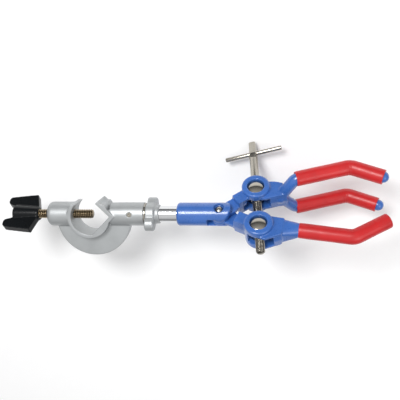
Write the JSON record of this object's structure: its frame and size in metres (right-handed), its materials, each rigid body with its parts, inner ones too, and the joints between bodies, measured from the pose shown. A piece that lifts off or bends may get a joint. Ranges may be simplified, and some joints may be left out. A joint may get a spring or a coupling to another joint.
{
  "type": "laboratory swivel clamp",
  "caption": "Swivel clamp for lab glassware: coated prongs closed by a T-screw, on a rod with a C-shaped boss head for a stand rod.",
  "frame": {"origin": "axis of the stand rod where it sits in the boss head's vee, level with the clamp's own rod", "axes": "+Z along the stand rod, +X along the clamp's rod towards the prongs, +Y out of the boss head's open side"},
  "size_m": [0.264, 0.0708, 0.0755],
  "materials": {
    "boss_casting": "satin silver-grey die casting",
    "screw_brass": "bright turned brass",
    "knob_plastic": "black moulded plastic",
    "rod_chrome": "bright chrome plate",
    "washer_steel": "zinc-plated steel",
    "nut_casting": "satin silver-grey die casting",
    "blue_paint": "gloss blue powder coat",
    "rivet_steel": "bright steel",
    "sleeve_red": "red soft PVC",
    "nickel": "nickel plate",
    "keeper_black": "black oxide"
  },
  "bodies": {
    "boss_head": {"boss_head": "boss_casting", "retaining_screw": "keeper_black"},
    "clamp_screw": {"clamp_screw": "screw_brass"},
    "knob": {"knob": "knob_plastic"},
    "rod": {"rod": "rod_chrome", "yoke": "blue_paint", "pivot_rivet": "rivet_steel"},
    "lock_washer": {"lock_washer": "washer_steel"},
    "lock_nut": {"lock_nut": "nut_casting"},
    "lower_jaw": {"lower_jaw": "blue_paint", "lower_sleeve": "sleeve_red"},
    "upper_jaw": {"upper_jaw": "blue_paint", "upper_sleeve_front": "sleeve_red", "upper_sleeve_rear": "sleeve_red"},
    "lower_barrel_nut": {"lower_barrel_nut": "nickel"},
    "upper_barrel_nut": {"upper_barrel_nut": "nickel"},
    "tee_screw": {"tee_screw": "nickel", "tommy_bar": "nickel", "retaining_ring_upper": "washer_steel", "retaining_ring_lower": "washer_steel"}
  },
  "joints": [
    {"name": "screw_travel", "type": "slide", "parent": "boss_head", "child": "clamp_screw", "axis": [1, 0, 0], "range_m": [-0.015, 0.0065]},
    {"name": "knob_turn", "type": "hinge", "parent": "clamp_screw", "child": "knob", "pos_m": [-0.055, 0, 0], "axis": [1, 0, 0], "range_deg": [-4250, 1840]},
    {"name": "rod_swivel", "type": "hinge", "parent": "boss_head", "child": "rod", "pos_m": [0.023, 0, 0], "axis": [1, 0, 0], "continuous": true},
    {"name": "lock_nut_turn", "type": "hinge", "parent": "lock_washer", "child": "lock_nut", "pos_m": [0.0373, 0, 0], "axis": [1, 0, 0], "range_deg": [0, 360]},
    {"name": "washer_slide", "type": "slide", "parent": "rod", "child": "lock_washer", "axis": [1, 0, 0], "range_m": [0, 0.0013]},
    {"name": "jaw_swing", "type": "hinge", "parent": "rod", "child": "lower_jaw", "pos_m": [0.0834, 0, 0], "axis": [0, 0.7771, 0.6293], "range_deg": [-40, 40]},
    {"name": "jaw_open", "type": "hinge", "parent": "lower_jaw", "child": "upper_jaw", "pos_m": [0.0834, 0, 0], "axis": [0, 0.7771, 0.6293], "range_deg": [-17, 29]},
    {"name": "lower_nut_turn", "type": "hinge", "parent": "lower_jaw", "child": "lower_barrel_nut", "pos_m": [0.11014, -0.00785, 0.00969], "axis": [0, 0.7771, 0.6293], "range_deg": [-8.6, 14.6]},
    {"name": "upper_nut_turn", "type": "hinge", "parent": "upper_jaw", "child": "upper_barrel_nut", "pos_m": [0.10727, 0.01091, -0.01348], "axis": [0, 0.7771, 0.6293], "range_deg": [-14.6, 8.6]},
    {"name": "tee_turn", "type": "hinge", "parent": "upper_barrel_nut", "child": "tee_screw", "pos_m": [0.10727, 0.01091, -0.01348], "axis": [-0.0958, 0.6264, -0.7736], "range_deg": [-2600, 4400]}
  ],
  "couplings": [
    {"joint": "screw_travel", "follows": "knob_turn", "m_per_rad": 0.00020213},
    {"joint": "washer_slide", "follows": "lock_nut_turn", "m_per_rad": 0.00020213},
    {"joint": "jaw_open", "follows": "tee_turn", "ratio": 0.006472},
    {"joint": "lower_nut_turn", "follows": "tee_turn", "ratio": 0.003236},
    {"joint": "upper_nut_turn", "follows": "tee_turn", "ratio": -0.003236}
  ]
}
